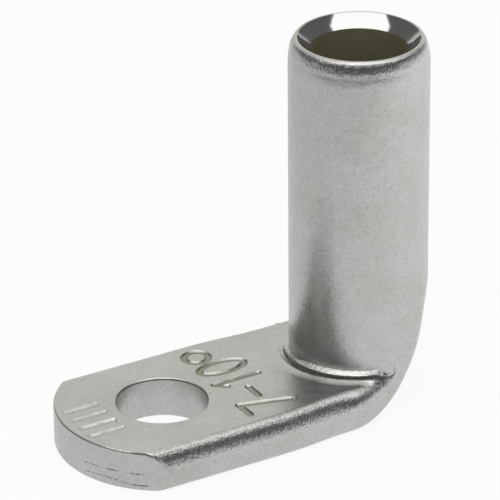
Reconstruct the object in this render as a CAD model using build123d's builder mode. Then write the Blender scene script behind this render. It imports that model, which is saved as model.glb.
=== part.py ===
from build123d import *
from math import asin, cos, degrees, pi, radians, sin, sqrt
import os

os.makedirs("parts", exist_ok=True)

# Driving dimensions of the angled lug, in millimetres.
# The origin is the centre of the stud hole on the underside of the palm.
# +X runs from the stud hole towards the barrel, and +Z is up along the barrel.
cable_bore = 7.0
wall = 1.5
overall_height = 27.25
stud_hole_diameter = 6.5
stud_to_barrel = 16.25
palm_width = 14.0
neck_width = 13.2
neck_length = 6.0
end_reach = 7.65
end_radius = 7.9
heel_radius = 9.2

# Rounded edges of the flattened tube and of its two openings
palm_top_rounding = 1.2
palm_bottom_rounding = 0.6
countersink_depth = 0.9
rim_rounding = 0.55
hole_rounding = 0.2

# The fold in front of the barrel: a low ledge at its foot, then a groove
ledge_width = 0.4
ledge_height = 0.2
groove_width = 0.35
groove_depth = 0.3
fold_end = 1.0

# The bend, by how far the tube has turned towards the palm, in degrees.
# Its back starts to flatten, the tube starts to widen, the fold meets the barrel's
# side, and the back ends up with the palm's own edge rounding.
flattening_start = 20
widening_start = 53
fold_corner = 56
back_flat = 60
foot_turns = (90, 82, 74, 67, 61, fold_corner)
heel_turns = (fold_corner, 46, 35, 24, 12, 0)

# How late or early each shape of the bend changes: over 1 is late, under 1 early
widening_power = 1.5
corner_depth_power = 1.4
corner_across_power = 1.35
top_rounding_power = 0.5

# Sizes that follow from the tube, which is pressed flat wall on wall
barrel_radius = cable_bore / 2 + wall
palm_thickness = 2 * wall
heel_x = stud_to_barrel + barrel_radius - heel_radius
fold_reach = stud_to_barrel - heel_x
fold_drop = heel_radius - palm_thickness
palm_tip = -end_reach - wall
fold_sharpness = 0.1
back_strip = 0.3
fold_shift = 0.6
inner_overlap = 0.6
hollow_taper = 3
hollow_front = stud_to_barrel - cable_bore / 2
hollow_back = stud_to_barrel + cable_bore / 2
floor_z = heel_radius - sqrt((heel_radius - wall) ** 2 - (hollow_front - heel_x) ** 2)


def tube_section(plane, inner, width, top_rounding, corner_depth, corner_across):
    """Closed outline of the bent tube, from its inner side to the heel.

    The back is a half ellipse while it is round, and later a flat between two corners.
    """
    half = width / 2
    shoulder = inner + top_rounding
    corner = heel_radius - corner_depth
    back_is_round = half - corner_across < back_strip
    lean = degrees(asin(back_strip / half)) if back_is_round else 0
    reach = half if back_is_round else corner_across
    side = half - reach
    with BuildSketch(plane) as section:
        with BuildLine():
            Line((inner, top_rounding - half), (inner, half - top_rounding))
            EllipticalCenterArc((shoulder, half - top_rounding), top_rounding, top_rounding, 90, arc_size=90)
            Line((shoulder, half), (corner, half))
            EllipticalCenterArc((corner, side), corner_depth, reach, lean, arc_size=90 - lean)
            if back_is_round:
                EllipticalCenterArc((corner, 0), corner_depth, half, -lean, arc_size=2 * lean)
            else:
                Line((heel_radius, side), (heel_radius, -side))
            EllipticalCenterArc((corner, -side), corner_depth, reach, 270, arc_size=90 - lean)
            Line((corner, -half), (shoulder, -half))
            EllipticalCenterArc((shoulder, top_rounding - half), top_rounding, top_rounding, 180, arc_size=90)
        make_face()
    return section.sketch


def bend_section(turn_angle):
    """Outline on a plane turned about the heel's axis, from level at 0 to upright at 90 degrees."""
    turn = radians(turn_angle)
    plane = Plane(
        origin=(heel_x, 0, heel_radius),
        x_dir=(cos(turn), 0, -sin(turn)),
        z_dir=(sin(turn), 0, cos(turn)),
    )
    spread = max(0, (turn_angle - widening_start) / (90 - widening_start))
    width = 2 * barrel_radius + (neck_width - 2 * barrel_radius) * sin(spread * pi / 2) ** widening_power
    flat_share = max(0, (turn_angle - fold_corner) / (90 - fold_corner))
    top_rounding = fold_sharpness + (palm_top_rounding - fold_sharpness) * flat_share ** top_rounding_power
    if turn_angle >= fold_corner:
        inner = fold_drop / sin(turn)
    else:
        inner = fold_reach / cos(turn) - inner_overlap
    round_over = barrel_radius - palm_bottom_rounding
    depth_share = max(0, cos(turn * 90 / back_flat)) ** corner_depth_power
    across_share = ((90 - turn_angle) / (90 - flattening_start)) ** corner_across_power
    corner_depth = palm_bottom_rounding + round_over * depth_share
    corner_across = palm_bottom_rounding + round_over * across_share
    return tube_section(plane, inner, width, top_rounding, corner_depth, corner_across)


def fold_outline(reach):
    """Crescent in front of the barrel, widest on the palm's centre line."""
    shift = fold_shift * reach
    with BuildSketch() as crescent:
        with Locations((stud_to_barrel - shift, 0)):
            Circle(barrel_radius + reach - shift)
        with Locations((stud_to_barrel, 0)):
            Circle(barrel_radius, mode=Mode.SUBTRACT)
        with Locations((stud_to_barrel - fold_end, 0)):
            Rectangle(4 * barrel_radius, 4 * barrel_radius, align=(Align.MIN, Align.CENTER), mode=Mode.SUBTRACT)
    return crescent.sketch


# Palm: the flattened end, with rounded long edges and a sheared round tip
with BuildPart() as palm:
    with BuildSketch():
        with BuildLine():
            tip_corner = (palm_tip, palm_width / 2)
            neck_start = (heel_x - neck_length, palm_width / 2)
            neck_end = (heel_x, neck_width / 2)
            Line((palm_tip, 0), tip_corner)
            Line(tip_corner, neck_start)
            Spline(neck_start, neck_end, tangents=((1, 0), (1, 0)))
            Line(neck_end, (heel_x, 0))
            mirror(about=Plane.XZ)
        make_face()
    extrude(amount=palm_thickness)
    long_edges = palm.edges().filter_by(Axis.Y, reverse=True).group_by(Axis.Z)
    fillet(long_edges[-1], palm_top_rounding)
    fillet(long_edges[0], palm_bottom_rounding)
    with BuildSketch():
        with Locations((end_radius - end_reach, 0)):
            Rectangle(2 * end_radius, 4 * end_radius, align=(Align.MAX, Align.CENTER))
            Circle(end_radius, mode=Mode.SUBTRACT)
    extrude(amount=palm_thickness, mode=Mode.SUBTRACT)

# Foot: from the flat palm to the corner of the fold
with BuildPart() as foot:
    for turn_angle in foot_turns:
        add(bend_section(turn_angle))
    loft()

# Heel: from the corner of the fold to the round barrel
with BuildPart() as heel:
    for turn_angle in heel_turns:
        add(bend_section(turn_angle))
    loft()

# Hollow of the barrel: it narrows into the bend, down to the inner face of the heel,
# and is a straight bore above it
with BuildPart() as hollow:
    with BuildSketch(Plane.XZ):
        with BuildLine():
            Line((hollow_front, floor_z), (hollow_front, heel_radius))
            Line((hollow_front, heel_radius), (hollow_back, heel_radius))
            RadiusArc((hollow_back, heel_radius), (hollow_front, floor_z), heel_radius - wall)
        make_face()
    extrude(amount=cable_bore, both=True)
    with BuildSketch(Plane.XY.offset(heel_radius)) as bore:
        with Locations((stud_to_barrel, 0)):
            Circle(cable_bore / 2)
    extrude(amount=-heel_radius, taper=hollow_taper, mode=Mode.INTERSECT)
    extrude(bore.sketch, amount=overall_height - heel_radius)

with BuildPart() as cable_lug:
    add(palm)
    add(foot)
    add(heel)

    # Clear the space above the palm, in front of the barrel's axis
    with BuildSketch(Plane.XY.offset(palm_thickness)):
        with Locations((stud_to_barrel, 0)):
            Rectangle(2 * stud_to_barrel, 2 * palm_width, align=(Align.MAX, Align.CENTER))
    extrude(amount=overall_height, mode=Mode.SUBTRACT)

    # Front half of the barrel, down to the palm
    with BuildSketch(Plane.XY.offset(palm_thickness)):
        with Locations((stud_to_barrel, 0)):
            Circle(barrel_radius)
            Rectangle(2 * barrel_radius, 2 * barrel_radius, align=(Align.MIN, Align.CENTER), mode=Mode.SUBTRACT)
    extrude(amount=fold_drop)

    # Straight barrel with its hollow
    with BuildSketch(Plane.XY.offset(heel_radius)):
        with Locations((stud_to_barrel, 0)):
            Circle(barrel_radius)
    extrude(amount=overall_height - heel_radius)
    add(hollow, mode=Mode.SUBTRACT)
    mouth_edges = cable_lug.faces().sort_by(Axis.Z)[-1].edges().sort_by(SortBy.LENGTH)
    chamfer(mouth_edges[0], countersink_depth)
    fillet(mouth_edges[-1], rim_rounding)

    # Ledge at the foot of the barrel, then the groove around it
    with BuildSketch(Plane.XY.offset(palm_thickness)):
        add(fold_outline(ledge_width))
    extrude(amount=ledge_height)
    with BuildSketch(Plane.XY.offset(palm_thickness)):
        add(fold_outline(ledge_width + groove_width))
        add(fold_outline(ledge_width), mode=Mode.SUBTRACT)
    extrude(amount=-groove_depth, mode=Mode.SUBTRACT)

    # Stud hole, rounded at the top where the punch went in
    with BuildSketch():
        Circle(stud_hole_diameter / 2)
    extrude(amount=palm_thickness, mode=Mode.SUBTRACT)
    punched_edge = cable_lug.edges().filter_by(GeomType.CIRCLE).sort_by_distance((0, 0, palm_thickness))[0]
    fillet(punched_edge, hole_rounding)

cable_lug.part.label = "cable_lug"
export_step(cable_lug.part, "parts/cable_lug.step")
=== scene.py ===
# %% [markdown]
# # Angled cable lug
#
# A copper tube of 10 mm, pressed flat at one end and bent square, then plated with tin.
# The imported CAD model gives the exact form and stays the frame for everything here.
# Blender adds what a solid model leaves out: the pressed figures, the marks of the shear
# that cut the end, and the skin of the plating.

# %% Load the frame
import math

import bmesh
import bpy
from mathutils import Matrix, Vector, noise as noise_value


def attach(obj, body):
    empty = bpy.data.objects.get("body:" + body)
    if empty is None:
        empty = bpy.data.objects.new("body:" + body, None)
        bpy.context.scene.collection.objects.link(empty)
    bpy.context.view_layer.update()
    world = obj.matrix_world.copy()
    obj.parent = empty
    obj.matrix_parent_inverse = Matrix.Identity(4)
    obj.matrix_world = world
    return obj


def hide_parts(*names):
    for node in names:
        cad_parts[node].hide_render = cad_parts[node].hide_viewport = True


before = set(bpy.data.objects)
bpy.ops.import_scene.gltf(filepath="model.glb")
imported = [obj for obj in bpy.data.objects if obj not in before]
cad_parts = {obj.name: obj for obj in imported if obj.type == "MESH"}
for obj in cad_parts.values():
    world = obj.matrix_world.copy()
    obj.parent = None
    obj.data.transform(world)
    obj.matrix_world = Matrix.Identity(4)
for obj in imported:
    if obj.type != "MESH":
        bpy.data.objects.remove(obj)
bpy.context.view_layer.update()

MM = 0.001


# %% [markdown]
# ## Two small helpers
#
# Colours are picked as sRGB hex values, as in any paint program, while Blender's shaders
# work in linear light, so one function converts them. Node trees are built in the script,
# so one function adds a node, sets its values and joins its inputs.

# %% Colour and node helpers


def linear(hex_colour):
    """Linear RGBA of an sRGB hex colour such as 'c8c8c4'."""
    channels = [int(hex_colour[i:i + 2], 16) / 255 for i in (0, 2, 4)]
    return tuple(c / 12.92 if c <= 0.04045 else ((c + 0.055) / 1.055) ** 2.4 for c in channels) + (1.0,)


def add(tree, kind, settings=None, **links):
    """Add a node; links maps an input's name (spaces as _) to a value or to an output socket."""
    node = tree.nodes.new(kind)
    for name, value in (settings or {}).items():
        if isinstance(name, int):
            node.inputs[name].default_value = value
        else:
            setattr(node, name, value)
    for name, value in links.items():
        if name.startswith("in_"):
            socket = node.inputs[int(name[3:])]
        else:
            socket = node.inputs[name.replace("_", " ")]
        if isinstance(value, bpy.types.NodeSocket):
            tree.links.new(value, socket)
        else:
            socket.default_value = value
    return node


print("mid grey c8c8c4 in linear light:", [round(c, 3) for c in linear("c8c8c4")])

# %% [markdown]
# ## The camera
#
# The camera stands where the photographer's stood. Its place and its three angles were
# found by matching the round openings and the straight edges, whose real sizes are known.
# It is far off with a long lens, so the picture has little perspective.

# %% Camera
CAMERA_PLACE = Vector((-119.05, -216.9, 138.3)) * MM
CAMERA_YAW = math.radians(-30.22)
CAMERA_PITCH = math.radians(26.54)
CAMERA_ROLL = math.radians(-0.51)
FOCAL_OVER_WIDTH = 3992.3 / 500

looking = Vector((
    -math.sin(CAMERA_YAW) * math.cos(CAMERA_PITCH),
    math.cos(CAMERA_YAW) * math.cos(CAMERA_PITCH),
    -math.sin(CAMERA_PITCH),
))
level = Vector((math.cos(CAMERA_YAW), math.sin(CAMERA_YAW), 0))
upward = level.cross(looking)
right = math.cos(CAMERA_ROLL) * level + math.sin(CAMERA_ROLL) * upward
top = math.cos(CAMERA_ROLL) * upward - math.sin(CAMERA_ROLL) * level

camera_data = bpy.data.cameras.new("photo_camera")
camera_data.sensor_width = 36.0
camera_data.lens = camera_data.sensor_width * FOCAL_OVER_WIDTH
camera_data.clip_start = 0.01
camera_data.clip_end = 10.0
camera = bpy.data.objects.new("photo_camera", camera_data)
turn = Matrix((right, top, -looking)).transposed()
camera.matrix_world = Matrix.Translation(CAMERA_PLACE) @ turn.to_4x4()
bpy.context.scene.collection.objects.link(camera)
bpy.context.scene.camera = camera
print("lens in mm:", round(camera_data.lens, 1))

# %% [markdown]
# ## The lug's own mesh
#
# The CAD node arrives as loose triangles. A copy is merged into one closed skin, so that it
# can shade smoothly. The real lug gets its figures from punches, which push the metal down
# along each stroke. A texture could fake that, but only real dents show in the mesh that is
# kept, so the flat triangles under the figures are cut into a fine grid first.

# %% Merged copy of the lug
PALM_TOP = 3.0 * MM
lug_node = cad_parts["cable_lug"]
lug_mesh = lug_node.data.copy()
lug_mesh.name = "tinned_lug"
shape = bmesh.new()
shape.from_mesh(lug_mesh)
bmesh.ops.remove_doubles(shape, verts=shape.verts, dist=0.001 * MM)
print("merged lug:", len(shape.verts), "points,", len(shape.faces), "triangles")

# %% [markdown]
# ## The end's worn outline
#
# The shear left a sharp outline round the palm's end, and tumbling wore it round. The end is
# part of an upright cylinder, so its outline is where a face of that cylinder meets another,
# and a bevel of three steps rounds it.

# %% Rounded outline of the end
END_RADIUS = 7.9 * MM
END_AXIS_X = 0.25 * MM
END_START_X = -2.5 * MM
OUTLINE_ROUNDING = 0.18 * MM


def around_end(point):
    """Distance from the end's axis, and the length along its arc, towards -Y."""
    away = Vector((point.x - END_AXIS_X, point.y))
    return away.length, math.atan2(-away.y, -away.x) * END_RADIUS


def on_end(f):
    return (
        abs(f.normal.z) < 0.05
        and f.calc_center_median().x < END_START_X
        and all(abs(around_end(v.co)[0] - END_RADIUS) < 0.02 * MM for v in f.verts)
    )


shape.normal_update()
outline = [e for e in shape.edges if len(e.link_faces) == 2 and on_end(e.link_faces[0]) != on_end(e.link_faces[1])]
bmesh.ops.bevel(shape, geom=outline, offset=OUTLINE_ROUNDING, offset_type="OFFSET", segments=3, profile=0.5,
                affect="EDGES", clamp_overlap=False)
for v in shape.verts:
    v.co.z = max(0.0, v.co.z)
shape.normal_update()
print("outline:", len(outline), "edges, now", len(shape.faces), "faces")

# %% [markdown]
# ## Grids where the marks go
#
# Cutting the flat faces by many parallel planes turns them into an even grid, while the rest
# of the skin keeps its few large triangles. Each grid step is a small part of a stroke's
# width, so that the slopes of the dents come out smooth.

# %% Fine grids on the palm


def cut(faces, planes):
    """Cut these faces by each plane in turn, given as a point and a direction."""
    geometry = list(faces)
    for f in faces:
        geometry += list(f.edges) + list(f.verts)
    # A dict drops what comes twice and keeps the order
    geometry = list(dict.fromkeys(geometry))
    for point, direction in planes:
        result = bmesh.ops.bisect_plane(shape, geom=geometry, plane_co=point, plane_no=direction, dist=1e-7)
        geometry = result["geom"]


def steps(low, high, step):
    """Evenly spaced values from low to high, with both ends."""
    count = max(1, round((high - low) / step))
    return [low + (high - low) * i / count for i in range(count + 1)]


def smooth_step(value, low, high):
    """0 below low, 1 above high, with a soft start and end."""
    share = min(1.0, max(0.0, (value - low) / (high - low)))
    return share * share * (3 - 2 * share)


def on_palm_top(f):
    return f.normal.z > 0.99 and abs(f.calc_center_median().z - PALM_TOP) < 0.01 * MM


def refine_rectangle(x_low, x_high, y_low, y_high, step):
    """Turn a rectangle of the palm's top into a square grid."""
    borders = [(Vector((x, 0, 0)), Vector((1, 0, 0))) for x in (x_low, x_high)]
    borders += [(Vector((0, y, 0)), Vector((0, 1, 0))) for y in (y_low, y_high)]
    cut([f for f in shape.faces if on_palm_top(f)], borders)
    shape.normal_update()
    inside = []
    for f in shape.faces:
        middle = f.calc_center_median()
        if on_palm_top(f) and x_low < middle.x < x_high and y_low < middle.y < y_high:
            inside.append(f)
    lines = [(Vector((x, 0, 0)), Vector((1, 0, 0))) for x in steps(x_low, x_high, step)]
    lines += [(Vector((0, y, 0)), Vector((0, 1, 0))) for y in steps(y_low, y_high, step)]
    cut(inside, lines)
    shape.normal_update()


GRID_STEP = 0.06 * MM
FIGURES_BOX = (3.9 * MM, 8.2 * MM, -5.7 * MM, 5.6 * MM)
NOTCHES_BOX = (-7.0 * MM, -3.9 * MM, -2.5 * MM, 2.4 * MM)
refine_rectangle(*FIGURES_BOX, GRID_STEP)
refine_rectangle(*NOTCHES_BOX, GRID_STEP)
print("with the palm's grids:", len(shape.faces), "faces")

# %% [markdown]
# ## The sheared end
#
# The tool that cut the palm's end round left a plain upright face, on which the seam of the
# flattened tube shows. The face is part of a cylinder, so its grid is cut by level planes and
# by planes through the cylinder's axis, and the new points are pushed out to the true arc.

# %% Grid on the sheared end
END_GRID_STEP = 0.055 * MM
END_GRID_ARC = 7.4 * MM
END_GRID_HEIGHTS = (0.16 * MM, 2.84 * MM)


def on_end_grid(f):
    return on_end(f) and abs(around_end(f.calc_center_median())[1]) < END_GRID_ARC


cut([f for f in shape.faces if on_end(f)],
    [(Vector((0, 0, z)), Vector((0, 0, 1))) for z in steps(*END_GRID_HEIGHTS, END_GRID_STEP)])
shape.normal_update()
arc_planes = []
for arc in steps(-END_GRID_ARC, END_GRID_ARC, END_GRID_STEP):
    turned = arc / END_RADIUS
    arc_planes.append((Vector((END_AXIS_X, 0, 0)), Vector((math.sin(turned), -math.cos(turned), 0))))
cut([f for f in shape.faces if on_end_grid(f)], arc_planes)
shape.normal_update()

for v in shape.verts:
    if any(on_end(f) for f in v.link_faces):
        distance, arc = around_end(v.co)
        v.co.x = END_AXIS_X + (v.co.x - END_AXIS_X) * END_RADIUS / distance
        v.co.y *= END_RADIUS / distance
print("with the end's grid:", len(shape.faces), "faces")

# %% [markdown]
# ## The barrel's rim
#
# The tube was cut to length and tumbled, so its outer edge is worn round, further down than a
# plain fillet and a little unevenly. The rings of points for it come from level cuts and from
# planes through the barrel's axis. Each point then moves in towards the axis by the worn
# profile. The same planes cut the rest of the barrel, whose flat facets would show in its
# reflections, and its new points move out to the true radius.

# %% Points for the rim
BARREL_AXIS = Vector((16.25 * MM, 0, 0))
BARREL_RADIUS = 5.0 * MM
RIM_TOP = 27.25 * MM
RIM_FOOT = 25.1 * MM
RIM_INNER = 4.405 * MM
RIM_RING_TOP = 27.2 * MM
RIM_RING_STEP = 0.075 * MM
RIM_PLANES = 110
ABOVE_FOLD = 3.5 * MM
ABOVE_BEND = 9.0 * MM


def from_axis(point):
    """Level distance of a point from the barrel's axis."""
    return math.hypot(point.x - BARREL_AXIS.x, point.y - BARREL_AXIS.y)


def on_rim(f):
    middle = f.calc_center_median()
    return middle.z > RIM_FOOT and from_axis(middle) > RIM_INNER


def on_barrel(f):
    middle = f.calc_center_median()
    return abs(f.normal.z) < 0.01 and ABOVE_FOLD < middle.z < RIM_FOOT and 4.95 * MM < from_axis(middle) < 5.01 * MM


cut([f for f in shape.faces if f.calc_center_median().z > ABOVE_BEND],
    [(Vector((0, 0, RIM_FOOT)), Vector((0, 0, 1)))])
shape.normal_update()
cut([f for f in shape.faces if on_rim(f)],
    [(Vector((0, 0, z)), Vector((0, 0, 1))) for z in steps(RIM_FOOT, RIM_RING_TOP, RIM_RING_STEP)])
shape.normal_update()
rim_planes = []
for i in range(RIM_PLANES):
    turned = math.pi * i / RIM_PLANES
    rim_planes.append((BARREL_AXIS, Vector((math.sin(turned), -math.cos(turned), 0))))
cut([f for f in shape.faces if on_rim(f) or on_barrel(f)], rim_planes)
shape.normal_update()
print("with the rim's points:", len(shape.faces), "faces")

# %% [markdown]
# ## The worn profile
#
# Low down the wear is a shallow curve, and at the very top the edge turns over in a tight
# round. A slow noise moves the foot of the wear up and down along the rim, so no two places
# are quite alike.

# %% Worn rim
WORN_FOOT = 25.35 * MM
WORN_CURVE = 0.1
WORN_DEPTH = 0.56 * MM
RIM_ROUND_START = 26.75 * MM
COUNTERSINK_EDGE = 4.33 * MM
# Points on the countersink's edge lie between these distances from the axis
EDGE_BAND = (4.38 * MM, 4.43 * MM)
# Two noises, each with its rate per metre and its height in mm
WOBBLES = [(1300, 0.12), (4200, 0.03)]


def worn_in(z, knee):
    """How far in from the barrel's wall the worn rim lies at this height."""
    inward = WORN_CURVE / MM * max(0.0, z - knee) ** 2
    if z > RIM_ROUND_START:
        share = min(1.0, (z - RIM_ROUND_START) / (RIM_TOP - RIM_ROUND_START))
        left = WORN_DEPTH - WORN_CURVE / MM * (RIM_TOP - knee) ** 2
        inward += left * (1 - math.sqrt(1 - share * share))
    return inward


def move_to_radius(v, radius):
    """Move a point level, to this distance from the barrel's axis."""
    distance = from_axis(v.co)
    v.co.x = BARREL_AXIS.x + (v.co.x - BARREL_AXIS.x) * radius / distance
    v.co.y *= radius / distance


wall_points = set()
for f in shape.faces:
    if on_barrel(f):
        wall_points.update(f.verts)
for v in wall_points:
    move_to_radius(v, BARREL_RADIUS)
for v in [v for v in shape.verts if v.co.z > RIM_FOOT and from_axis(v.co) > EDGE_BAND[0]]:
    wobble = sum(noise_value.noise(v.co * rate) * height for rate, height in WOBBLES)
    if from_axis(v.co) > EDGE_BAND[1]:
        move_to_radius(v, BARREL_RADIUS - worn_in(v.co.z, WORN_FOOT + wobble * MM))
    else:
        move_to_radius(v, COUNTERSINK_EDGE)
print("worn rim: the top has a radius of", round((BARREL_RADIUS - WORN_DEPTH) / MM, 2), "mm")

# %% [markdown]
# ## The palm's long edges
#
# The sides of a flattened tube are never a true quarter round: the rounding begins further
# in and runs on further down. Seen along the palm, each point near an edge is pulled towards
# a middle inside the metal, until the solid's quarter circle becomes a longer, fuller curve.

# %% Rows of points for the long edges
SIDE_START = 5.3 * MM
SIDE_FOOT = 0.7 * MM
SIDE_END_X = 15.0 * MM
# First, last and step of the level cuts and of the upright cuts
SIDE_ROWS = (0.8 * MM, 2.96 * MM, 0.116 * MM)
SIDE_COLUMNS = (-3.6 * MM, 12.0 * MM, 0.4 * MM)


def on_long_side(f):
    middle = f.calc_center_median()
    return (middle.x < SIDE_END_X and middle.z > SIDE_FOOT and abs(middle.y) > SIDE_START and f.normal.z < 0.999
            and abs(f.normal.y) > 0.1 and not on_end(f))


side_planes = [(Vector((0, 0, z)), Vector((0, 0, 1))) for z in steps(*SIDE_ROWS)]
side_planes += [(Vector((x, 0, 0)), Vector((1, 0, 0))) for x in steps(*SIDE_COLUMNS)]
cut([f for f in shape.faces if on_long_side(f)], side_planes)
shape.normal_update()
print("with the long edges:", len(shape.faces), "faces")

# %% [markdown]
# ## The fuller curve
#
# Both curves are described by their distance from that middle in any direction, so their
# ratio says how far a point on the skin moves in. The solid's curve is a quarter circle with
# a straight wall below it, and the fuller one is an ellipse whose power is a little over 2.

# %% The solid's curve and the fuller one
EDGE_MIDDLE = (5.75 * MM, SIDE_FOOT)
FULL_SIZE = (1.25 * MM, 2.3 * MM)
FULL_POWER = 2.35
SOLID_ROUND = 1.2 * MM


def solid_reach(across, up):
    """Distance from the middle to the solid's skin in a direction across and up."""
    to_centre = (FULL_SIZE[0] - SOLID_ROUND, FULL_SIZE[1] - SOLID_ROUND)
    along = to_centre[0] * across + to_centre[1] * up
    reach = along + math.sqrt(along ** 2 - to_centre[0] ** 2 - to_centre[1] ** 2 + SOLID_ROUND ** 2)
    if reach * across >= to_centre[0] and reach * up >= to_centre[1]:
        return reach
    return min(FULL_SIZE[0] / max(across, 1e-6), FULL_SIZE[1] / max(up, 1e-6))


def full_reach(across, up):
    """The same distance to the fuller curve."""
    total = (across / FULL_SIZE[0]) ** FULL_POWER + (up / FULL_SIZE[1]) ** FULL_POWER
    return total ** (-1 / FULL_POWER)


print("at 45 degrees the skin moves in by",
      round((solid_reach(0.7071, 0.7071) - full_reach(0.7071, 0.7071)) / MM, 3), "mm")

# %% [markdown]
# ## Moving the long edges
#
# Along the straight part of the palm, points of the skin are set right on the fuller curve.
# From the neck to the bend the move fades out, as the fold takes over there. Points deeper in
# the end's face move less, which keeps the grid there in order.

# %% Fuller long edges
HALF_WIDTH = 7.0 * MM
# Where the palm starts to narrow, where it stops, and by how much on each side
NECK = (6.05 * MM, 12.05 * MM, 0.4 * MM)
EDGE_FADE = (10.5 * MM, 13.5 * MM)
ABOVE_PALM = 3.01 * MM

skin = set()
for f in shape.faces:
    if on_long_side(f):
        skin.update(f.verts)
for v in shape.verts:
    narrower = NECK[2] * smooth_step(v.co.x, NECK[0], NECK[1])
    across = abs(v.co.y) - (EDGE_MIDDLE[0] - narrower)
    up = v.co.z - EDGE_MIDDLE[1]
    fade = 1 - smooth_step(v.co.x, *EDGE_FADE)
    if across <= 0 or up <= 0 or fade == 0 or v.co.z > ABOVE_PALM:
        continue
    away = math.hypot(across, up)
    solid = solid_reach(across / away, up / away)
    change = min(0.0, full_reach(across / away, up / away) / solid - 1)
    if v in skin and away > 0.97 * solid and v.co.x < NECK[0]:
        ratio = solid * (1 + change) / away
    else:
        ratio = 1 + change * fade * smooth_step(away / solid, 0.5, 1.0)
    end_distance = around_end(v.co)[0]
    v.co.y = math.copysign(abs(v.co.y) + across * (ratio - 1), v.co.y)
    v.co.z += up * (ratio - 1)
    if v.co.x < END_START_X and end_distance > END_RADIUS - 0.25 * MM:
        v.co.x = END_AXIS_X - math.sqrt(end_distance ** 2 - v.co.y ** 2)
print("long edges: the rounding is", FULL_SIZE[0] / MM, "mm wide and", FULL_SIZE[1] / MM, "mm high")

# %% [markdown]
# ## The fold
#
# Where the tube was bent square, its inner side folded: a narrow ledge leans against the
# barrel's foot, a groove runs round it, and outside the groove the palm's metal is pushed up
# into a lip. The solid has the ledge and the groove with square edges. Here the ledge gets
# its slope and its crumpled skin, and the palm gets the lip.

# %% Grid on the fold
LEDGE_CIRCLE = (Vector((16.01 * MM, 0, 0)), 5.16 * MM)
GROOVE_CIRCLE = (Vector((15.8 * MM, 0, 0)), 5.3 * MM)
FOLD_BOX = (8.8 * MM, 15.7 * MM, 5.75 * MM)
FOLD_HEIGHTS = (2.6 * MM, 3.25 * MM)
FOLD_STEP = 0.075 * MM


def beyond(point, circle):
    """How far a point lies outside a circle."""
    centre, radius = circle
    return math.hypot(point.x - centre.x, point.y - centre.y) - radius


def in_fold(f):
    middle = f.calc_center_median()
    return (FOLD_BOX[0] < middle.x < 15.6 * MM and abs(middle.y) < FOLD_BOX[2]
            and FOLD_HEIGHTS[0] < middle.z < FOLD_HEIGHTS[1] and from_axis(middle) > 4.98 * MM and f.normal.z > -0.1)


cut([f for f in shape.faces if on_palm_top(f)],
    [(Vector((FOLD_BOX[0], 0, 0)), Vector((1, 0, 0))), (Vector((0, -FOLD_BOX[2], 0)), Vector((0, 1, 0))),
     (Vector((0, FOLD_BOX[2], 0)), Vector((0, 1, 0)))])
shape.normal_update()
fold_planes = [(Vector((x, 0, 0)), Vector((1, 0, 0))) for x in steps(FOLD_BOX[0], FOLD_BOX[1], FOLD_STEP)]
fold_planes += [(Vector((0, y, 0)), Vector((0, 1, 0))) for y in steps(-FOLD_BOX[2], FOLD_BOX[2], FOLD_STEP)]
fold_planes += [(Vector((0, 0, z * MM)), Vector((0, 0, 1))) for z in (2.8, 2.9, 3.1)]
cut([f for f in shape.faces if in_fold(f)], fold_planes)
shape.normal_update()
print("with the fold's grid:", len(shape.faces), "faces")

# %% [markdown]
# ## The lip beside the groove
#
# Folded metal doesn't keep the solid's square edges: the palm's metal that was pushed away
# stands up beside the groove as a low lip. Its height follows from the distance outside the
# groove's own circle: a short rise to a crest, then a long fall.

# %% The lip's profile
LIP_CREST = 0.26 * MM
LIP_FALL = 0.62 * MM


def lip_share(past_groove):
    """Height of the lip at this distance outside the groove: a short rise, then a long fall."""
    if past_groove < LIP_CREST:
        return 0.3 + 0.7 * smooth_step(past_groove, -0.05 * MM, LIP_CREST)
    return max(0.0, 1 - (past_groove - LIP_CREST) / LIP_FALL) ** 1.5


print("the lip's share at 0, 0.26 and 0.5 mm:", [round(lip_share(d * MM), 2) for d in (0, 0.26, 0.5)])

# %% [markdown]
# ## Working the fold
#
# Three parts move, each by its own rule: the ledge rises towards the barrel, the groove's
# floor rises, most at its ends, and the palm swells into the lip. A fine noise crumples the
# ledge and the lip, as folded metal is never smooth, and fades towards the fold's corners.
# On the far side the fold closes, so everything there sinks back to the palm's level.

# %% Worked fold
GROOVE_FLOOR = 2.7 * MM
LEDGE_TOP = 3.2 * MM
LEDGE_RISE = 0.26
# Heights in mm in the middle, and what is added towards the ends
LIP_HEIGHT = (0.11, 0.05)
FLOOR_RISE = (0.1, 0.06)
LIP_LEAN = 0.2
CLOSED_SHARE = 0.985
CRUMPLES = [(5000, 0.022), (1800, 0.02)]

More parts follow.
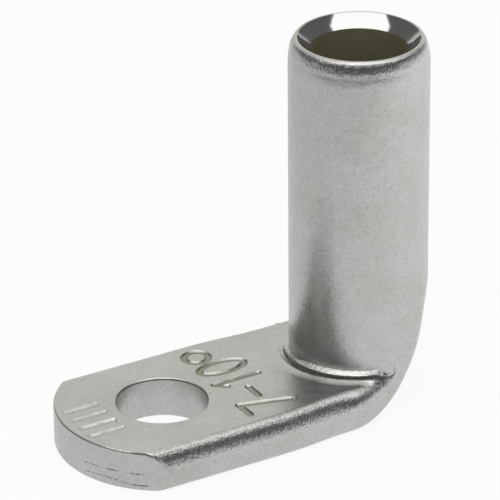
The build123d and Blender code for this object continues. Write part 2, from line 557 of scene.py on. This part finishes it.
fold_points = set()
for f in shape.faces:
    if in_fold(f):
        fold_points.update(f.verts)
for v in fold_points:
    if v.co.z > LEDGE_TOP + 0.01 * MM or v.co.z < GROOVE_FLOOR - 0.01 * MM:
        continue
    side = math.degrees(math.atan2(-v.co.y, BARREL_AXIS.x - v.co.x))
    past_ledge = beyond(v.co, LEDGE_CIRCLE)
    past_groove = beyond(v.co, GROOVE_CIRCLE)
    crumple = sum(noise_value.noise(v.co * rate) * height for rate, height in CRUMPLES) * MM
    crumple *= 1 - 0.8 * smooth_step(abs(side), 50, 70)
    if v.co.z > LEDGE_TOP - 0.01 * MM and past_ledge < 0.02 * MM:
        ledge_width = 0.16 * MM + 0.24 * MM * max(0.1, math.cos(math.radians(side)))
        inward = min(1.0, max(0.0, -past_ledge / ledge_width))
        v.co.z += LEDGE_RISE * smooth_step(side, -5, 18) * MM * inward + crumple * min(1.0, 4 * inward)
    elif past_groove > -0.02 * MM and v.co.z > GROOVE_FLOOR + 0.01 * MM:
        share = (v.co.z - GROOVE_FLOOR) / (PALM_TOP - GROOVE_FLOOR)
        height = (LIP_HEIGHT[0] + LIP_HEIGHT[1] * smooth_step(abs(side), 0, 45)) * MM + 0.6 * crumple
        swell = lip_share(past_groove)
        v.co.z += height * swell * share
        away = Vector((v.co.x - BARREL_AXIS.x, v.co.y, 0)).normalized()
        v.co += away * LIP_LEAN * MM * smooth_step(abs(side), 55, 75) * swell
    elif past_ledge > 0.02 * MM:
        v.co.z += (FLOOR_RISE[0] + FLOOR_RISE[1] * smooth_step(abs(side), 50, 70)) * MM
    closed = smooth_step(-side, 22, 31)
    v.co.z = PALM_TOP + (v.co.z - PALM_TOP) * (1 - CLOSED_SHARE * closed)
print("fold points:", len(fold_points))

# %% [markdown]
# ## One closed mesh
#
# The edited skin goes back into a plain mesh. Cutting leaves some faces with many corners,
# which are split, and a closed skin has no open edge.

# %% Back to a mesh
bmesh.ops.triangulate(shape, faces=[f for f in shape.faces if len(f.verts) > 4])
open_edges = sum(1 for e in shape.edges if len(e.link_faces) != 2)
shape.to_mesh(lug_mesh)
shape.free()
lug = bpy.data.objects.new("tinned_lug", lug_mesh)
bpy.context.scene.collection.objects.link(lug)
print("the lug's mesh:", len(lug_mesh.polygons), "faces, open edges:", open_edges)

# %% [markdown]
# ## Pressed figures
#
# Plain figures give the tube's inside and outside size in mm, 7-10, and a small ring follows.
# Each is a few strokes, drawn once as a list of points, as on the punch. A geometry node tree
# measures how far each point of the skin lies from the nearest stroke and presses it in by a
# soft profile, with a low lip of metal that the punch pushes up beside it.

# %% The strokes of the figures
FIGURE_FOOT_X = 7.85


def arc_points(centre, radii, start, end, count):
    """Points on an ellipse's arc, angles in degrees."""
    turns = [math.radians(start + (end - start) * i / count) for i in range(count + 1)]
    return [(centre[0] + radii[0] * math.cos(t), centre[1] + radii[1] * math.sin(t)) for t in turns]


# Each entry: where the figure starts along the palm's width, then its strokes in mm
FIGURES = [
    (-5.1, [[(0.0, 3.6), (1.6, 3.6), (0.6, 0.0)]]),
    (-2.95, [[(0.0, 1.65), (1.45, 1.65)]]),
    (-0.95, [[(0.3, 2.9), (0.95, 3.6), (0.95, 0.0)]]),
    (1.25, [arc_points((0.8, 1.8), (0.8, 1.8), 0, 360, 28)]),
    (3.4, [arc_points((0.85, 2.65), (0.85, 0.9), 0, 360, 24)]),
]


def stroke_object(name, strokes):
    """A mesh of bare edges that follows each stroke's points, given in metres."""
    points, edges = [], []
    for stroke in strokes:
        first = len(points)
        points += stroke
        edges += [(first + i, first + i + 1) for i in range(len(stroke) - 1)]
    mesh = bpy.data.meshes.new(name)
    mesh.from_pydata(points, edges, [])
    made = bpy.data.objects.new(name, mesh)
    bpy.context.scene.collection.objects.link(made)
    return made


# %% [markdown]
# ## Strokes as bare edges
#
# Each stroke becomes a chain of edges without faces, which the tree can measure from. The
# notches are straight lines in the palm's top. The seams lie on the end's curved face, so they
# are given as a length along the arc and a height.

# %% The strokes of the notches and seams
figure_lines = []
for start, strokes in FIGURES:
    for stroke in strokes:
        figure_lines.append([((FIGURE_FOOT_X - v) * MM, (start + u) * MM, PALM_TOP) for u, v in stroke])
figure_strokes = stroke_object("figure_strokes", figure_lines)

# Four plain notches near the end, as a press leaves when it holds the palm
NOTCH_PLACES = (-2.0, -0.7, 0.6, 1.9)
notch_strokes = stroke_object("notch_strokes", [
    [(-6.7 * MM, y * MM, PALM_TOP), (-4.3 * MM, y * MM, PALM_TOP)] for y in NOTCH_PLACES
])

# The two seams that show on the sheared end, as length along the arc and height in mm
END_SEAMS = [
    [(1.9, 1.17), (2.6, 1.24), (3.4, 1.27), (4.4, 1.31), (5.4, 1.34), (6.2, 1.31), (6.9, 1.33)],
    [(2.2, 0.52), (3.0, 0.62), (3.8, 0.68), (4.7, 0.62), (5.5, 0.49), (6.3, 0.43), (7.1, 0.44)],
    [(-6.6, 1.42), (-5.2, 1.36), (-3.9, 1.44), (-2.6, 1.40)],
]
seam_lines = []
for seam in END_SEAMS:
    line = []
    for arc, height in seam:
        turned = arc * MM / END_RADIUS
        line.append((END_AXIS_X - END_RADIUS * math.cos(turned), -END_RADIUS * math.sin(turned), height * MM))
    seam_lines.append(line)
seam_strokes = stroke_object("seam_strokes", seam_lines)
print("strokes:", len(figure_lines), "in the figures,", len(NOTCH_PLACES), "notches,", len(seam_lines), "seams")

# %% [markdown]
# ## The pressing tree
#
# The tree gets the strokes as an object, so one tree serves the figures, the notches and the
# seams. Near a stroke the skin goes down, just outside it goes up a little, and each is a
# smooth step of the distance over the stroke's half width.

# %% A tree that presses strokes into a surface
press_strokes = bpy.data.node_groups.new("press_strokes", "GeometryNodeTree")
press_strokes.interface.new_socket(name="Geometry", in_out="INPUT", socket_type="NodeSocketGeometry")
for name, kind in [("Strokes", "Object"), ("Half width", "Float"), ("Depth", "Float"), ("Floor share", "Float"),
                   ("Lip height", "Float"), ("Unevenness", "Float"), ("Seed", "Float"), ("Material", "Material")]:
    press_strokes.interface.new_socket(name=name, in_out="INPUT", socket_type="NodeSocket" + kind)
press_strokes.interface.new_socket(name="Geometry", in_out="OUTPUT", socket_type="NodeSocketGeometry")
given = add(press_strokes, "NodeGroupInput").outputs

strokes_here = add(press_strokes, "GeometryNodeObjectInfo", {"transform_space": "RELATIVE"},
                   Object=given["Strokes"])
nearest = add(press_strokes, "GeometryNodeProximity", {"target_element": "EDGES"},
              in_0=strokes_here.outputs["Geometry"])
across_stroke = add(press_strokes, "ShaderNodeMath", {"operation": "DIVIDE"},
                    in_0=nearest.outputs["Distance"], in_1=given["Half width"]).outputs[0]
groove = add(press_strokes, "ShaderNodeMapRange", {"interpolation_type": "SMOOTHSTEP"}, Value=across_stroke,
             From_Min=given["Floor share"], From_Max=1.15, To_Min=-1.0, To_Max=0.0)
lip_up = add(press_strokes, "ShaderNodeMapRange", {"interpolation_type": "SMOOTHSTEP"}, Value=across_stroke,
             From_Min=0.7, From_Max=1.25, To_Min=0.0, To_Max=1.0)
lip_down = add(press_strokes, "ShaderNodeMapRange", {"interpolation_type": "SMOOTHSTEP"}, Value=across_stroke,
               From_Min=1.25, From_Max=2.2, To_Min=1.0, To_Max=0.0)
down = add(press_strokes, "ShaderNodeMath", {"operation": "MULTIPLY"}, in_0=groove.outputs[0], in_1=given["Depth"])
lip = add(press_strokes, "ShaderNodeMath", {"operation": "MULTIPLY"}, in_0=lip_up.outputs[0],
          in_1=lip_down.outputs[0])
lifted = add(press_strokes, "ShaderNodeMath", {"operation": "MULTIPLY_ADD"}, in_0=lip.outputs[0],
             in_1=given["Lip height"], in_2=down.outputs[0])
print("the tree has", len(press_strokes.nodes), "nodes so far")

# %% [markdown]
# ## Uneven pressing
#
# A punch never presses quite evenly, so a noise with a fixed seed weakens the depth here and
# there. The tree ends in Realize Instances and Set Material, so the piece leaves it dressed.

# %% Unevenness and the end of the tree
where = add(press_strokes, "GeometryNodeInputPosition").outputs[0]
patchy = add(press_strokes, "ShaderNodeTexNoise", {"noise_dimensions": "4D"}, Vector=where, W=given["Seed"],
             Scale=900.0, Detail=1.0)
weaker = add(press_strokes, "ShaderNodeMath", {"operation": "MULTIPLY"}, in_0=patchy.outputs[0],
             in_1=given["Unevenness"])
strength = add(press_strokes, "ShaderNodeMath", {"operation": "SUBTRACT"}, in_0=1.0, in_1=weaker.outputs[0])
height = add(press_strokes, "ShaderNodeMath", {"operation": "MULTIPLY"}, in_0=lifted.outputs[0],
             in_1=strength.outputs[0])
outwards = add(press_strokes, "GeometryNodeInputNormal").outputs[0]
offset = add(press_strokes, "ShaderNodeVectorMath", {"operation": "SCALE"}, in_0=outwards, Scale=height.outputs[0])
moved = add(press_strokes, "GeometryNodeSetPosition", Geometry=given["Geometry"], Offset=offset.outputs[0])
realized = add(press_strokes, "GeometryNodeRealizeInstances", in_0=moved.outputs[0])
dressed = add(press_strokes, "GeometryNodeSetMaterial", in_0=realized.outputs[0], Material=given["Material"])
add(press_strokes, "NodeGroupOutput", in_0=dressed.outputs[0])


def apply_tree(piece, tree, values):
    """Run a tree on a piece with these named inputs and keep the result as its plain mesh."""
    modifier = piece.modifiers.new(tree.name, "NODES")
    modifier.node_group = tree
    for item in tree.interface.items_tree:
        if item.in_out == "INPUT" and item.name in values:
            modifier[item.identifier] = values[item.name]
    depsgraph = bpy.context.evaluated_depsgraph_get()
    result = bpy.data.meshes.new_from_object(piece.evaluated_get(depsgraph), depsgraph=depsgraph)
    piece.modifiers.remove(modifier)
    old = piece.data
    piece.data = result
    bpy.data.meshes.remove(old)
    result.name = piece.name
    print(tree.name, "on", piece.name, "gives", len(result.polygons), "faces")


print("the tree has", len(press_strokes.nodes), "nodes")

# %% [markdown]
# ## Tin on copper
#
# The lug is plated with a thin coat of tin. The coat is dull and bright in patches a few
# millimetres across, with small pits that show as darker dots. Numbers painted on the faces
# later tell the material where the tool cut smooth, where the barrel's inside is, and how deep
# the figures are, which darkens them with dirt and painted shade.

# %% The plating's colour
CLOUDS = 3.5 * MM
COARSE_GRAIN = 0.8 * MM
# The real pits are about 0.05 mm; they are drawn four times coarser, so that the photo's
# pixels of 0.07 mm can show them
FINE_GRAIN = 0.22 * MM


def set_stops(ramp, stops):
    """Give a colour ramp its stops, each a position and a hex colour."""
    elements = ramp.color_ramp.elements
    while len(elements) < len(stops):
        elements.new(0.5)
    for element, (position, colour) in zip(elements, stops):
        element.position = position
        element.color = linear(colour)


tin = bpy.data.materials.new("tin_plated_copper")
tin.use_nodes = True
coat = tin.node_tree
coat.nodes.clear()
place = add(coat, "ShaderNodeTexCoord").outputs["Object"]
smooth_cut = add(coat, "ShaderNodeAttribute", {"attribute_name": "smooth_cut"}).outputs["Fac"]
inside = add(coat, "ShaderNodeAttribute", {"attribute_name": "inside"}).outputs["Fac"]
pressed = add(coat, "ShaderNodeAttribute", {"attribute_name": "pressed"}).outputs["Fac"]
sheared = add(coat, "ShaderNodeAttribute", {"attribute_name": "sheared"}).outputs["Fac"]
recess = add(coat, "ShaderNodeAttribute", {"attribute_name": "recess"}).outputs["Fac"]
worn = add(coat, "ShaderNodeAttribute", {"attribute_name": "worn"}).outputs["Fac"]

clouds = add(coat, "ShaderNodeTexNoise", Vector=place, Scale=1 / CLOUDS, Detail=4.0, Roughness=0.5)
grain = add(coat, "ShaderNodeTexNoise", Vector=place, Scale=1 / COARSE_GRAIN, Detail=3.0, Roughness=0.6).outputs[0]
fine = add(coat, "ShaderNodeTexNoise", Vector=place, Scale=1 / FINE_GRAIN, Detail=2.0, Roughness=0.6).outputs[0]
cloudy = add(coat, "ShaderNodeValToRGB", Fac=clouds.outputs[0])
set_stops(cloudy, [(0.3, "bfbfbc"), (0.7, "c8c8c6")])
specks = add(coat, "ShaderNodeValToRGB", Fac=fine)
set_stops(specks, [(0.25, "e7e7e5"), (0.45, "f7f7f7"), (0.7, "ffffff")])
colour = add(coat, "ShaderNodeMix", {"data_type": "RGBA", "blend_type": "MULTIPLY", 0: 1.0},
             in_6=cloudy.outputs[0], in_7=specks.outputs[0]).outputs[2]
colour = add(coat, "ShaderNodeMix", {"data_type": "RGBA", 7: linear("bbbbba")}, in_0=smooth_cut,
             in_6=colour).outputs[2]
colour = add(coat, "ShaderNodeMix", {"data_type": "RGBA", 7: linear("cdc9b2")}, in_0=inside, in_6=colour).outputs[2]
# Dirt and painted shade: the deeper a point lies in a figure, the more it turns to the dark 7c7766
dirt_and_painted_shade = add(coat, "ShaderNodeMath", {"operation": "MULTIPLY", 1: 0.65}, in_0=recess).outputs[0]
colour = add(coat, "ShaderNodeMix", {"data_type": "RGBA", 7: linear("7c7766")}, in_0=dirt_and_painted_shade, in_6=colour).outputs[2]
print("colour nodes:", len(coat.nodes))

# %% [markdown]
# ## Satin, polished and cut
#
# A metal's look is nearly all in what it mirrors, so roughness matters more than colour. The
# coat is satin, and patchy like the grain. Tumbling polished the edges, the countersink is
# freshly cut, and inside the barrel the tin is dull.

# %% The plating's roughness
rough = add(coat, "ShaderNodeMapRange", Value=grain, From_Min=0.3, From_Max=0.7, To_Min=0.28, To_Max=0.38).outputs[0]
rough = add(coat, "ShaderNodeMix", {"data_type": "FLOAT", 3: 0.19}, in_0=worn, in_2=rough).outputs[0]
rough = add(coat, "ShaderNodeMix", {"data_type": "FLOAT", 3: 0.1}, in_0=smooth_cut, in_2=rough).outputs[0]
rough = add(coat, "ShaderNodeMix", {"data_type": "FLOAT", 3: 0.5}, in_0=inside, in_2=rough).outputs[0]
print("with the roughness:", len(coat.nodes), "nodes")

# %% [markdown]
# ## Grain, drag marks and scuffs
#
# Three kinds of relief: the pitted grain everywhere, less where a press or a shear smoothed
# it; long marks down the sheared end and inside the barrel, where a tool or a mandrel was
# dragged along; and short scuffs across the worn edges, from parts that tumbled together.

# %% The plating's relief
# Real drag marks are some 0.02 mm wide and the scuffs finer still; both are drawn coarser,
# so that they show at the photo's scale
DRAG_MARKS = 0.14 * MM
SCUFFS = 0.11 * MM
along_z = add(coat, "ShaderNodeMapping", {"vector_type": "POINT", 3: (1.0, 1.0, 0.12)}, in_0=place).outputs[0]
drag = add(coat, "ShaderNodeTexNoise", Vector=along_z, Scale=1 / DRAG_MARKS, Detail=3.0, Roughness=0.6).outputs[0]
across_edges = add(coat, "ShaderNodeMapping", {"vector_type": "POINT", 3: (1.0, 0.5, 0.2)}, in_0=place).outputs[0]
scuffs = add(coat, "ShaderNodeTexNoise", Vector=across_edges, Scale=1 / SCUFFS, Detail=3.0, Roughness=0.65).outputs[0]

dragged = add(coat, "ShaderNodeMath", {"operation": "MULTIPLY_ADD", 1: 0.5}, in_0=inside, in_2=sheared).outputs[0]
drag_height = add(coat, "ShaderNodeMath", {"operation": "MULTIPLY"}, in_0=drag, in_1=dragged).outputs[0]
scuff_height = add(coat, "ShaderNodeMath", {"operation": "MULTIPLY"}, in_0=scuffs, in_1=worn).outputs[0]
grainy = add(coat, "ShaderNodeMath", {"operation": "SUBTRACT", 0: 1.0}, in_1=smooth_cut).outputs[0]
grainy = add(coat, "ShaderNodeMath", {"operation": "MULTIPLY_ADD", 1: -0.72}, in_0=pressed, in_2=grainy).outputs[0]
grainy = add(coat, "ShaderNodeMath", {"operation": "MULTIPLY_ADD", 1: -0.6}, in_0=sheared, in_2=grainy).outputs[0]
fine_height = add(coat, "ShaderNodeMath", {"operation": "MULTIPLY"}, in_0=fine, in_1=grainy).outputs[0]
relief = add(coat, "ShaderNodeBump", Height=grain, Distance=0.006 * MM, Strength=1.0).outputs[0]
relief = add(coat, "ShaderNodeBump", Height=drag_height, Distance=0.055 * MM, Strength=1.0, Normal=relief).outputs[0]
relief = add(coat, "ShaderNodeBump", Height=scuff_height, Distance=0.055 * MM, Strength=1.0, Normal=relief).outputs[0]
relief = add(coat, "ShaderNodeBump", Height=fine_height, Distance=0.018 * MM, Strength=1.0, Normal=relief).outputs[0]
surface = add(coat, "ShaderNodeBsdfPrincipled", Base_Color=colour, Metallic=1.0, Roughness=rough, Normal=relief)
add(coat, "ShaderNodeOutputMaterial", Surface=surface.outputs[0])
print("material:", tin.name, "with", len(coat.nodes), "nodes")

# %% [markdown]
# ## Pressing the marks
#
# The same tree runs three times, deep and wide for the figures and notches, thin for the
# seams. The strokes themselves are then taken away.

# %% Press the marks
apply_tree(lug, press_strokes, {
    "Strokes": figure_strokes, "Half width": 0.27 * MM, "Depth": 0.16 * MM, "Floor share": 0.5,
    "Lip height": 0.03 * MM, "Unevenness": 0.45, "Seed": 3.0, "Material": tin})
apply_tree(lug, press_strokes, {
    "Strokes": notch_strokes, "Half width": 0.34 * MM, "Depth": 0.2 * MM, "Floor share": 0.05,
    "Lip height": 0.01 * MM, "Unevenness": 0.5, "Seed": 8.0, "Material": tin})
apply_tree(lug, press_strokes, {
    "Strokes": seam_strokes, "Half width": 0.06 * MM, "Depth": 0.045 * MM, "Floor share": 0.2,
    "Lip height": 0.0, "Unevenness": 0.6, "Seed": 5.0, "Material": tin})
for strokes in (figure_strokes, notch_strokes, seam_strokes):
    bpy.data.objects.remove(strokes)

# %% [markdown]
# ## Which face has which finish
#
# Each face has one of five finishes, told by where it lies: the freshly cut countersink, the
# barrel's inside, what a press or a punch smoothed, the sheared end, or the plain coat. The
# barrel's inside is near its axis and doesn't face down, as the heel below it does.

# %% Finish of a face
# A little outside the countersink, the bore and the stud hole
COUNTERSINK_REACH = 4.4 * MM
COUNTERSINK_FOOT = 26.36 * MM
BORE_REACH = 3.6 * MM
HOLE_REACH = 3.3 * MM
# The palm's pressed top, with its dents and the groove
TOP_HALF_WIDTH = 5.8 * MM
TOP_HEIGHTS = (2.75 * MM, 3.06 * MM)


def finish_of(face):
    """The finish of one face: smoothly cut, inside the barrel, pressed smooth, sheared, or plain."""
    middle = face.center
    away = from_axis(middle)
    if away < COUNTERSINK_REACH and middle.z > COUNTERSINK_FOOT:
        return "smooth_cut"
    if away < BORE_REACH and face.normal.z > -0.1:
        return "inside"
    if middle.xy.length < HOLE_REACH:
        return "pressed"
    if abs(middle.y) < TOP_HALF_WIDTH and TOP_HEIGHTS[0] < middle.z < TOP_HEIGHTS[1] and face.normal.z > 0.5:
        return "pressed"
    if middle.x < END_START_X and around_end(middle)[0] > END_RADIUS - 0.1 * MM:
        return "sheared"
    return "plain"


print("finish of the first face:", finish_of(lug.data.polygons[0]))

# %% [markdown]
# ## Worn places, and dirt and painted shade in the figures
#
# Two shares are kept at the points instead of the faces, because they fade out: how far
# tumbling polished and scuffed an edge, and how deep a point lies in a figure, which darkens it
# with dirt and painted shade.

# %% Worn, and dirt and painted shade shares
RIM_POLISH = (26.0 * MM, 26.5 * MM)
RIM_LAND = (27.1 * MM, 27.22 * MM)
EDGE_POLISH_INSET = (0.8 * MM, 1.3 * MM)
EDGE_POLISH_FOOT = (1.3 * MM, 1.8 * MM)
# Depth at which a figure's dirt and painted shade are full
DIRT_AND_SHADE_DEPTH = 0.08 * MM


def worn_share(point):
    """How far tumbling has polished and scuffed this place: the rim, the ledge and the long edges."""
    if point.z > RIM_POLISH[0] and from_axis(point) > 4.5 * MM:
        return smooth_step(point.z, *RIM_POLISH) * (1 - smooth_step(point.z, *RIM_LAND))
    if point.z > 3.6 * MM or point.x > 15.0 * MM:
        return 0.0
    if point.z > 3.12 * MM and 5.03 * MM < from_axis(point) < 5.5 * MM:
        return 0.7
    if point.x < 0 and around_end(point)[0] > END_RADIUS - 0.1 * MM:
        return 0.0
    inset = HALF_WIDTH - NECK[2] * smooth_step(point.x, NECK[0], NECK[1]) - abs(point.y)
    return (1 - smooth_step(inset, *EDGE_POLISH_INSET)) * smooth_step(point.z, *EDGE_POLISH_FOOT)


def dirt_and_shade_share(point):
    """How deep this point lies in a figure, from 0 to 1, for its dirt and painted shade."""
    x_low, x_high, y_low, y_high = FIGURES_BOX
    if x_low < point.x < x_high and y_low < point.y < y_high and point.z > 2.5 * MM:
        return min(1.0, max(0.0, (PALM_TOP - point.z) / DIRT_AND_SHADE_DEPTH))
    return 0.0


print("worn share of the rim's middle:", worn_share(BARREL_AXIS + Vector((BARREL_RADIUS, 0, 26.8 * MM))))

# %% [markdown]
# ## Painting the finishes on the mesh
#
# An attribute is a number for each face or point, which the material reads by its name. Each
# face gets a 1 for its own finish and a 0 for the others.

# %% Mark the finishes
found = [finish_of(f) for f in lug.data.polygons]
for name in ("smooth_cut", "inside", "pressed", "sheared"):
    attribute = lug.data.attributes.new(name, "FLOAT", "FACE")
    attribute.data.foreach_set("value", [1.0 if finish == name else 0.0 for finish in found])
    print(name, found.count(name), "faces")
for name, share_of in (("recess", dirt_and_shade_share), ("worn", worn_share)):
    shares = [share_of(v.co) for v in lug.data.vertices]
    attribute = lug.data.attributes.new(name, "FLOAT", "POINT")
    attribute.data.foreach_set("value", shares)

# %% [markdown]
# ## Even shading
#
# Blender averages the directions of the faces round a point to shade a skin smoothly. Beside
# long thin triangles that average is uneven, so here the flats and the upright walls have the
# say wherever they meet a curve.

# %% Even shading
GENTLE = math.cos(math.radians(38))


def corner_normals(mesh):
    """One direction for each corner of each face, averaged over the neighbours that meet it gently."""
    normals = [f.normal.copy() for f in mesh.polygons]
    around = [[] for _ in mesh.vertices]
    for f in mesh.polygons:
        for v in f.vertices:
            around[v].append(f.index)
    rank = [2 if abs(n.z) > 0.9999 else 1 if abs(n.z) < 0.004 else 0 for n in normals]
    chosen = []
    for f in mesh.polygons:
        for v in f.vertices:
            near = [i for i in around[v] if normals[i].dot(normals[f.index]) > GENTLE]
            best = max(rank[i] for i in near)
            total = Vector()
            for i in near:
                if rank[i] == best:
                    total += normals[i] * mesh.polygons[i].area
            chosen.append(total.normalized() if total.length > 0 else normals[f.index])
    return chosen


lug.data.shade_smooth()
lug.data.normals_split_custom_set(corner_normals(lug.data))
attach(lug, "root")
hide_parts("cable_lug")
print("lug:", len(lug.data.polygons), "faces")

# %% [markdown]
# ## White table
#
# The lug lies on a large white sheet. It is one flat face, and not part of the lug. Two level
# directions, to the camera's right and towards the camera, place the light on the sheet, in the
# room and in the lamp.

# %% Table
HALF_FLOOR = 3.0
TO_THE_RIGHT = (0.8641, -0.5033, 0.0)
TO_THE_FRONT = (-0.5033, -0.8641, 0.0)
floor_mesh = bpy.data.meshes.new("white_table")
floor_mesh.from_pydata(
    [(-HALF_FLOOR, -HALF_FLOOR, 0), (HALF_FLOOR, -HALF_FLOOR, 0), (HALF_FLOOR, HALF_FLOOR, 0),
     (-HALF_FLOOR, HALF_FLOOR, 0)], [], [(0, 1, 2, 3)])
floor = bpy.data.objects.new("white_table", floor_mesh)
bpy.context.scene.collection.objects.link(floor)
print("table of", 2 * HALF_FLOOR, "m")

# %% [markdown]
# ## White paper
# The sheet shows plain white to the camera and still takes the lug's soft shadow, so the
# paper is a mix of a matte skin and a glow. The glow is even to the camera, while in the metal
# it holds painted light, brighter on the right, and painted shade from a hand's breadth in
# front of the lug, where it stands for the dark room.

# %% The table's paper
# Painted light towards the right and painted shade in front, in the glow that the metal mirrors
PAINTED_LIGHT_SPAN = (-0.1, 0.12)
PAINTED_LIGHT_LEVELS = (0.75, 1.17)
PAINTED_SHADE_SPAN = (0.085, 0.12)
GLOW_SHARE = 0.9
paper = bpy.data.materials.new("white_paper")
paper.use_nodes = True
sheet = paper.node_tree
sheet.nodes.clear()
rays = add(sheet, "ShaderNodeLightPath").outputs
on_sheet = add(sheet, "ShaderNodeTexCoord").outputs["Object"]
rightwards = add(sheet, "ShaderNodeVectorMath", {"operation": "DOT_PRODUCT", 1: TO_THE_RIGHT}, in_0=on_sheet)
forwards = add(sheet, "ShaderNodeVectorMath", {"operation": "DOT_PRODUCT", 1: TO_THE_FRONT}, in_0=on_sheet)
# Painted light: the glow that the metal sees grows brighter towards the right
painted_light_right = add(sheet, "ShaderNodeMapRange", {"interpolation_type": "SMOOTHSTEP"}, Value=rightwards.outputs["Value"],
               From_Min=PAINTED_LIGHT_SPAN[0], From_Max=PAINTED_LIGHT_SPAN[1], To_Min=PAINTED_LIGHT_LEVELS[0], To_Max=PAINTED_LIGHT_LEVELS[1])
# Painted shade: the glow that the metal sees dims from a hand's breadth in front of the lug
painted_shade_front = add(sheet, "ShaderNodeMapRange", {"interpolation_type": "SMOOTHSTEP"}, Value=forwards.outputs["Value"],
             From_Min=PAINTED_SHADE_SPAN[0], From_Max=PAINTED_SHADE_SPAN[1], To_Min=1.0, To_Max=0.15)
mirrored = add(sheet, "ShaderNodeMath", {"operation": "MULTIPLY"}, in_0=painted_light_right.outputs[0], in_1=painted_shade_front.outputs[0])
level_seen = add(sheet, "ShaderNodeMix", {"data_type": "FLOAT", 3: 1.0}, in_0=rays["Is Camera Ray"],
                 in_2=mirrored.outputs[0])
glow = add(sheet, "ShaderNodeEmission", Color=(1.0, 1.0, 1.0, 1.0), Strength=level_seen.outputs[0])
matte = add(sheet, "ShaderNodeBsdfDiffuse", Color=linear("f4f4f4"))
seen = add(sheet, "ShaderNodeMath", {"operation": "MAXIMUM"}, in_0=rays["Is Camera Ray"], in_1=rays["Is Glossy Ray"])
seen = add(sheet, "ShaderNodeMath", {"operation": "MAXIMUM"}, in_0=seen.outputs[0], in_1=rays["Is Transmission Ray"])
share = add(sheet, "ShaderNodeMath", {"operation": "MULTIPLY", 1: GLOW_SHARE}, in_0=seen.outputs[0])
paper_skin = add(sheet, "ShaderNodeMixShader", in_0=share.outputs[0], in_1=matte.outputs[0], in_2=glow.outputs[0])
add(sheet, "ShaderNodeOutputMaterial", Surface=paper_skin.outputs[0])
floor_mesh.materials.append(paper)
print("paper nodes:", len(sheet.nodes))

# %% [markdown]
# ## The room
#
# Pale metal needs something darker to mirror, or it looks flat. Here a band of light runs
# from a white backdrop behind the lug up over its top, while the room is dark on the camera's
# side and to the left and right. That draws the dark bands along the rounded edges and the
# dark patches in the countersink.

# %% The room's light
world = bpy.data.worlds.new("studio_room")
bpy.context.scene.world = world
world.use_nodes = True
room = world.node_tree
room.nodes.clear()
direction = add(room, "ShaderNodeTexCoord").outputs["Generated"]
frontness = add(room, "ShaderNodeVectorMath", {"operation": "DOT_PRODUCT", 1: TO_THE_FRONT}, in_0=direction)
sideness = add(room, "ShaderNodeVectorMath", {"operation": "DOT_PRODUCT", 1: TO_THE_RIGHT}, in_0=direction)
front_share = add(room, "ShaderNodeMapRange", Value=frontness.outputs["Value"],
                  From_Min=-1.0, From_Max=1.0).outputs[0]
# From straight behind the lug, at 0, to straight at the camera's side, at 1
ROOM_LEVELS = [(0.0, 0.86), (0.3, 0.84), (0.47, 0.66), (0.56, 0.3), (0.7, 0.19), (1.0, 0.17)]
WALL_LEVEL = 0.18
levels = add(room, "ShaderNodeFloatCurve", Value=front_share)
curve = levels.mapping.curves[0]
curve.points[0].location = ROOM_LEVELS[0]
curve.points[1].location = ROOM_LEVELS[-1]
for place_on_curve in ROOM_LEVELS[1:-1]:
    curve.points.new(*place_on_curve)
levels.mapping.update()
off_middle = add(room, "ShaderNodeMath", {"operation": "ABSOLUTE"}, in_0=sideness.outputs["Value"])
at_walls = add(room, "ShaderNodeMapRange", {"interpolation_type": "SMOOTHSTEP"}, Value=off_middle.outputs[0],
               From_Min=0.54, From_Max=0.66)
room_strength = add(room, "ShaderNodeMix", {"data_type": "FLOAT", 3: WALL_LEVEL}, in_0=at_walls.outputs[0],
                    in_2=levels.outputs[0])
tint = add(room, "ShaderNodeValToRGB", Fac=front_share)
set_stops(tint, [(0.2, "fffefa"), (0.55, "f2f6f4"), (0.9, "e2ebe8")])
light = add(room, "ShaderNodeBackground", Strength=room_strength.outputs[0], Color=tint.outputs[0])
white = add(room, "ShaderNodeBackground", Strength=1.0, Color=(1.0, 1.0, 1.0, 1.0))
to_camera = add(room, "ShaderNodeLightPath").outputs["Is Camera Ray"]
backdrop = add(room, "ShaderNodeMixShader", in_0=to_camera, in_1=light.outputs[0], in_2=white.outputs[0])
add(room, "ShaderNodeOutputWorld", Surface=backdrop.outputs[0])
print("room nodes:", len(room.nodes))

# %% [markdown]
# ## The lamp
#
# One large soft lamp hangs above, a little towards the camera. Its sharp borders show in the
# countersink, and it draws the bright line beside each dark band.

# %% Overhead softbox
LAMP_WIDTH, LAMP_DEPTH = 0.94, 0.53
LAMP_LEVEL = 1.8
lamp_data = bpy.data.lights.new("overhead_softbox", "AREA")
lamp_data.shape = "RECTANGLE"
lamp_data.size = LAMP_WIDTH
lamp_data.size_y = LAMP_DEPTH
lamp_data.energy = LAMP_LEVEL * math.pi * LAMP_WIDTH * LAMP_DEPTH
lamp = bpy.data.objects.new("overhead_softbox", lamp_data)
lamp.location = Vector(TO_THE_FRONT) * 0.2 + Vector((0, 0, 0.6))
lamp.rotation_euler = (0, 0, math.atan2(TO_THE_RIGHT[1], TO_THE_RIGHT[0]))
bpy.context.scene.collection.objects.link(lamp)
bpy.context.scene.view_settings.view_transform = "Standard"
print("lamp power in W:", round(lamp_data.energy, 2))
